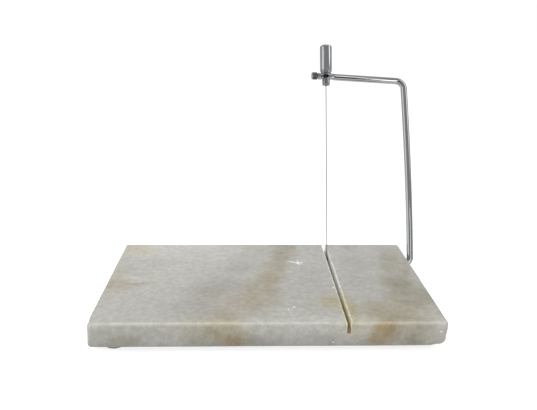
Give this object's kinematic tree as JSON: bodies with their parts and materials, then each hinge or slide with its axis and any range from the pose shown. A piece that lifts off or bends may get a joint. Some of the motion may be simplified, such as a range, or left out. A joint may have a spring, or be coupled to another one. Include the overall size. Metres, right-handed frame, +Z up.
{
  "type": "foie gras slicer",
  "caption": "Marble board with a saw-cut groove and a bent chrome arm that swings a taut cutting wire down into it; plain knob tightens the wire.",
  "frame": {"origin": "on the table, under the middle of the whole slicer's box with the arm leaning back", "axes": "+X to the user's right, along the arm's pivot; +Y away from the user, along the groove; +Z up"},
  "size_m": [0.21, 0.164, 0.1632],
  "materials": {
    "marble": "satin",
    "chrome": "polished",
    "steel": "satin",
    "wire_steel": "polished",
    "rubber": "matte",
    "nylon": "matte"
  },
  "bodies": {
    "board": {"marble_board": "marble", "foot_front_left": "rubber", "foot_front_right": "rubber", "foot_back_left": "rubber", "foot_back_right": "rubber", "pivot_bush": "nylon", "tip_bush": "nylon"},
    "arm": {"arm_bar": "chrome", "cutting_wire": "wire_steel", "lower_crimp": "steel", "knob_washer": "steel"},
    "stud": {"tension_stud": "steel", "upper_crimp": "steel"},
    "knob": {"tension_knob": "chrome"},
    "screw": {"lock_screw": "steel"}
  },
  "joints": [
    {"name": "arm_swing", "type": "hinge", "parent": "board", "child": "arm", "pos_m": [0.04211, 0.02369, 0.0122], "axis": [1, 0, 0], "range_deg": [-70, 110]},
    {"name": "knob_turn", "type": "hinge", "parent": "arm", "child": "knob", "pos_m": [0.04211, 0.07151, 0.14357], "axis": [0, 0.342, 0.9397], "range_deg": [-135, 1215]},
    {"name": "stud_slide", "type": "slide", "parent": "arm", "child": "stud", "axis": [0, 0.342, 0.9397], "range_m": [-0.0027, 0.0003]},
    {"name": "screw_turn", "type": "hinge", "parent": "arm", "child": "screw", "pos_m": [0.04211, 0.07035, 0.14037], "axis": [-0.9985, 0.0185, 0.0508], "range_deg": [0, 720]}
  ],
  "couplings": [
    {"joint": "knob_turn", "follows": "stud_slide", "rad_per_m": -7854}
  ]
}
